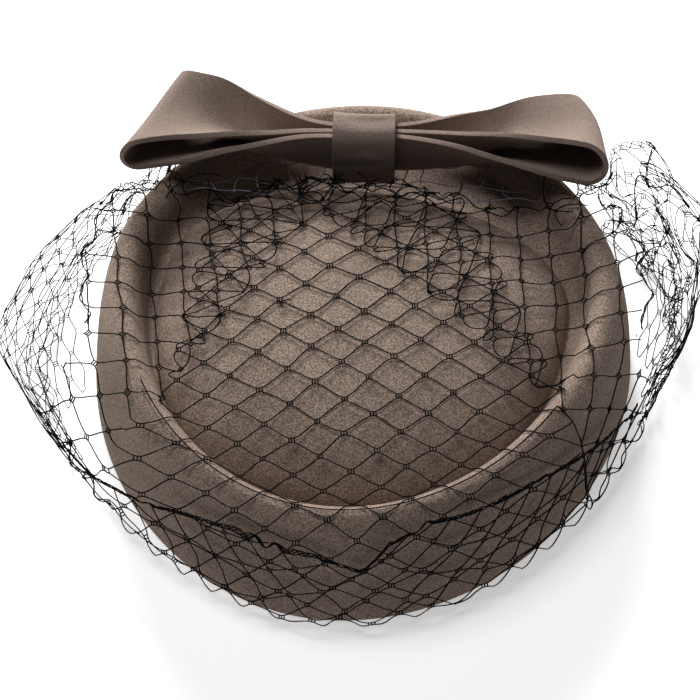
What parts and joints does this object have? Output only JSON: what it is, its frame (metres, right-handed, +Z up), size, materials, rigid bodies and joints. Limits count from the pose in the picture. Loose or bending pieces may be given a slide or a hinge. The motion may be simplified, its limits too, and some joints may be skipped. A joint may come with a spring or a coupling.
{
  "type": "felt pillbox hat",
  "caption": "Oval felt pillbox hat with a rolled rim, a groove round a domed crown, a flat felt bow across the back and a gathered diamond-mesh net veil over the top and wall",
  "frame": {"origin": "under the middle of the whole object's box, on the surface that the hat's lower edge rests on", "axes": "+Z up out of the crown, -Y to the front of the hat, +X to the viewer's right, across the bow and the spread of the veil"},
  "size_m": [0.257, 0.218, 0.0708],
  "materials": {
    "hat_felt": "matt brushed wool felt, taupe brown",
    "bow_felt": "matt wool felt, taupe brown, a shade darker",
    "veil_net": "matt black knotted thread net"
  },
  "bodies": {
    "root": {"hat_body": "hat_felt", "bow_strip": "bow_felt", "bow_knot": "bow_felt", "veil": "veil_net"}
  },
  "joints": []
}
